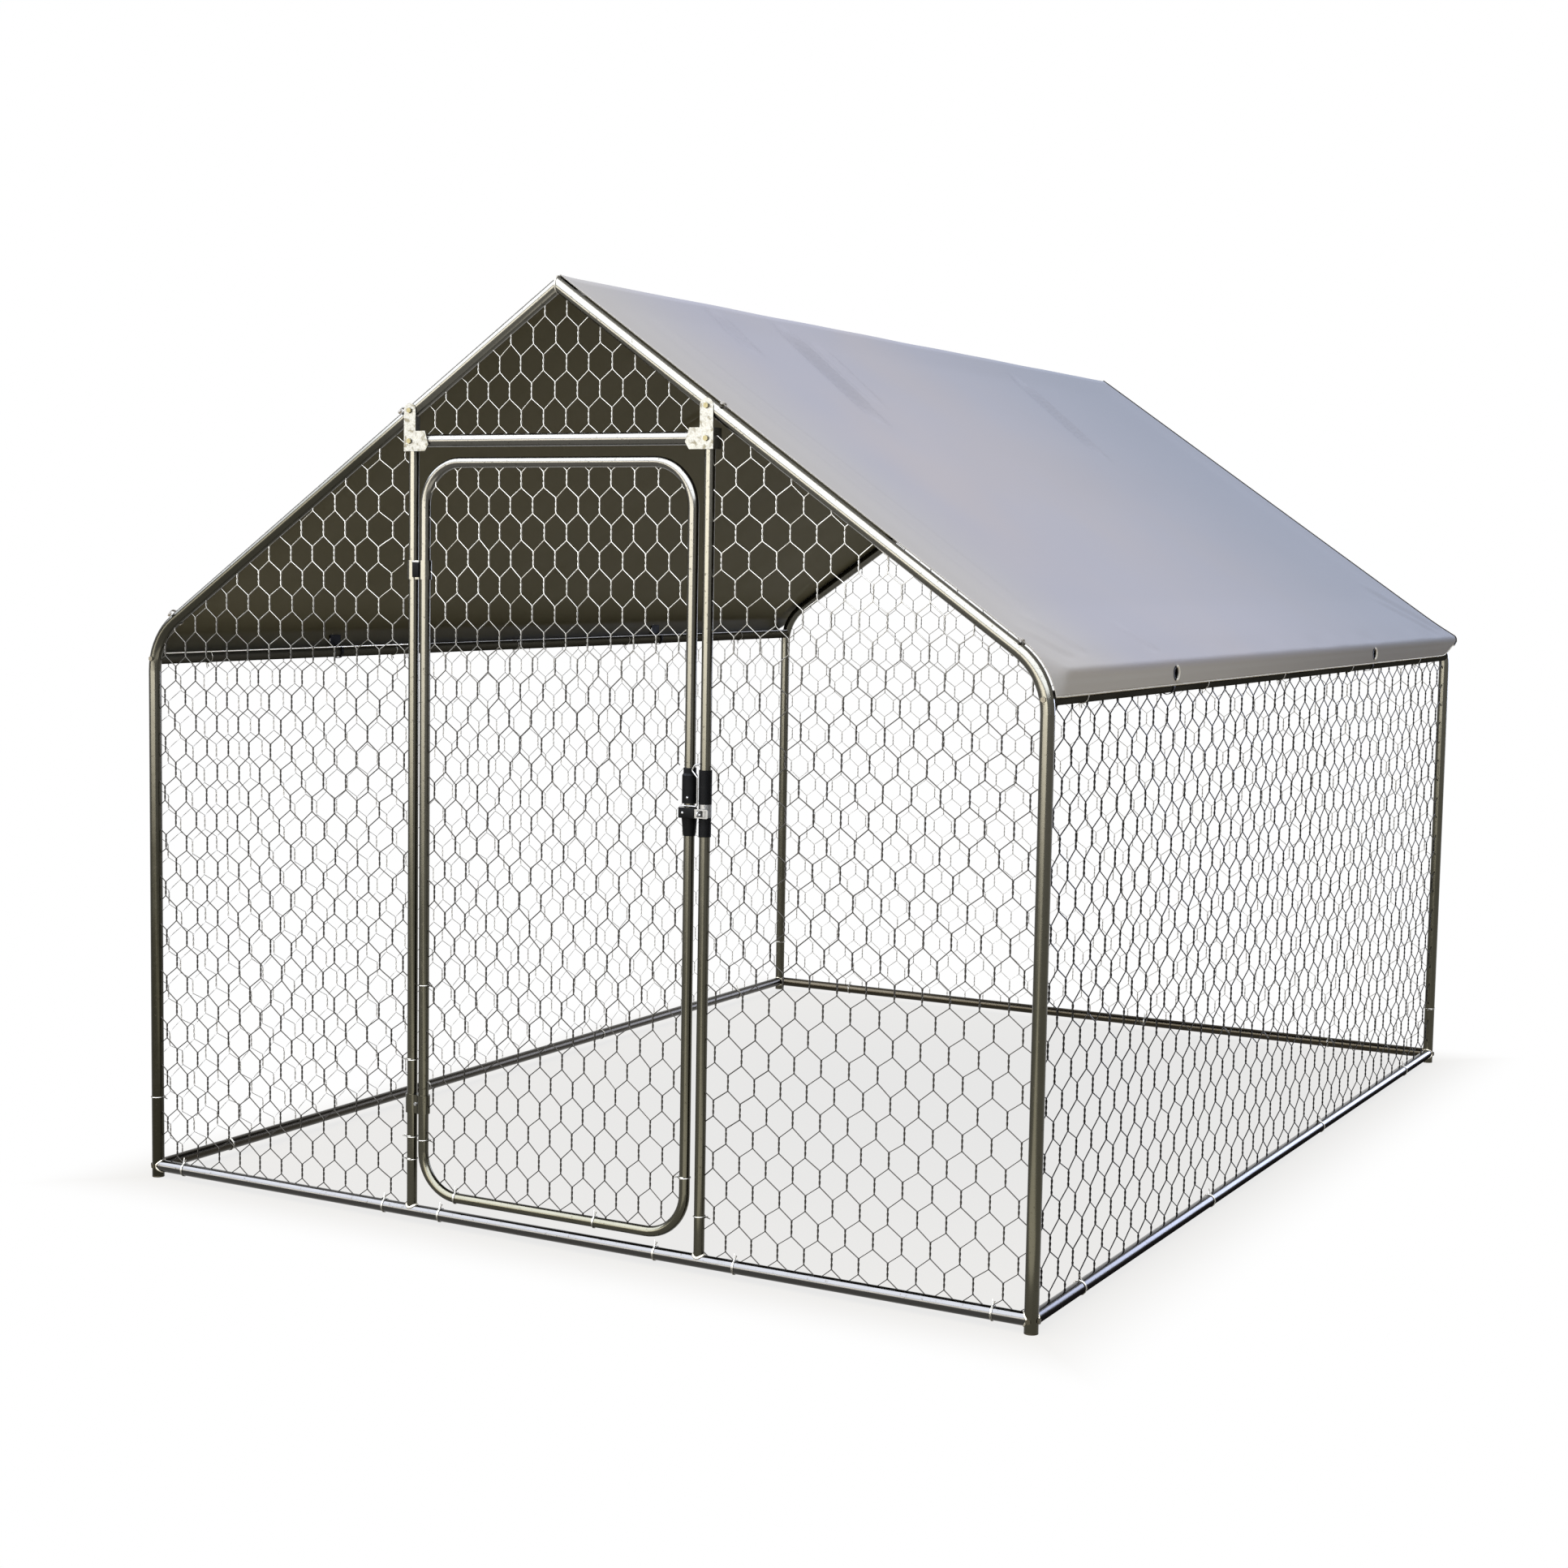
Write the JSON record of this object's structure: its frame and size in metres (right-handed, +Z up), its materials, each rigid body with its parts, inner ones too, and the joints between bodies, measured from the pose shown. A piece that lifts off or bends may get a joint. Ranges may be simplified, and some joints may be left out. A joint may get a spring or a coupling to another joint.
{
  "type": "walk-in poultry run",
  "caption": "Walk-in poultry run of galvanised tube with a gable roof, hexagon wire netting on all walls, a tarpaulin cover and a latched netted door.",
  "frame": {"origin": "on the ground, in the middle of the plan", "axes": "+X across the front to the right, +Y to the rear, +Z up"},
  "size_m": [2.208, 3.024, 1.9998],
  "materials": {
    "galvanised_tube": "hot-dip galvanised, satin",
    "netting": "galvanised twisted wire",
    "tarpaulin": "coated polyester, grey outside, dark inside",
    "black_plastic": "moulded, satin black",
    "zinc_plate": "bright zinc plated",
    "cap_steel": "galvanised, welded shut",
    "tie_cord": "black woven strap"
  },
  "bodies": {
    "frame": {"front_left_arch": "galvanised_tube", "front_right_arch": "galvanised_tube", "rear_left_arch": "galvanised_tube", "rear_right_arch": "galvanised_tube", "front_ridge_joiner": "galvanised_tube", "rear_ridge_joiner": "galvanised_tube", "ridge_tube": "galvanised_tube", "left_eave_rail": "galvanised_tube", "right_eave_rail": "galvanised_tube", "front_base_rail": "galvanised_tube", "rear_base_rail": "galvanised_tube", "left_base_rail": "galvanised_tube", "right_base_rail": "galvanised_tube", "left_door_post": "galvanised_tube", "right_door_post": "galvanised_tube", "lintel": "galvanised_tube", "left_lintel_bracket": "zinc_plate", "right_lintel_bracket": "zinc_plate", "bracket_bolts": "zinc_plate", "corner_bolts": "zinc_plate", "foot_caps": "cap_steel", "left_net": "netting", "right_net": "netting", "rear_net": "netting", "front_left_net": "netting", "front_right_net": "netting", "gable_net": "netting", "roof_cover": "tarpaulin", "cover_eyelets": "zinc_plate", "cover_ties": "tie_cord", "upper_keeper_sleeve": "black_plastic", "lower_keeper_sleeve": "black_plastic", "keeper_staple": "zinc_plate"},
    "door": {"door_frame": "galvanised_tube", "door_net": "netting", "lower_hinge_front_shell": "zinc_plate", "lower_hinge_rear_shell": "zinc_plate", "upper_hinge_front_shell": "zinc_plate", "upper_hinge_rear_shell": "zinc_plate", "hinge_rivets": "zinc_plate", "latch_block": "black_plastic", "latch_hook": "zinc_plate"},
    "latch": {"latch_grip": "black_plastic", "latch_tongue": "zinc_plate", "tongue_rivet": "zinc_plate"}
  },
  "joints": [
    {"name": "door_swing", "type": "hinge", "parent": "frame", "child": "door", "pos_m": [-0.36, -1.48, 0.8], "axis": [0, 0, -1], "range_deg": [0, 150]},
    {"name": "latch_swivel", "type": "hinge", "parent": "door", "child": "latch", "pos_m": [0.324, -1.48, 0.915], "axis": [0, 0, -1], "range_deg": [0, 120]}
  ]
}
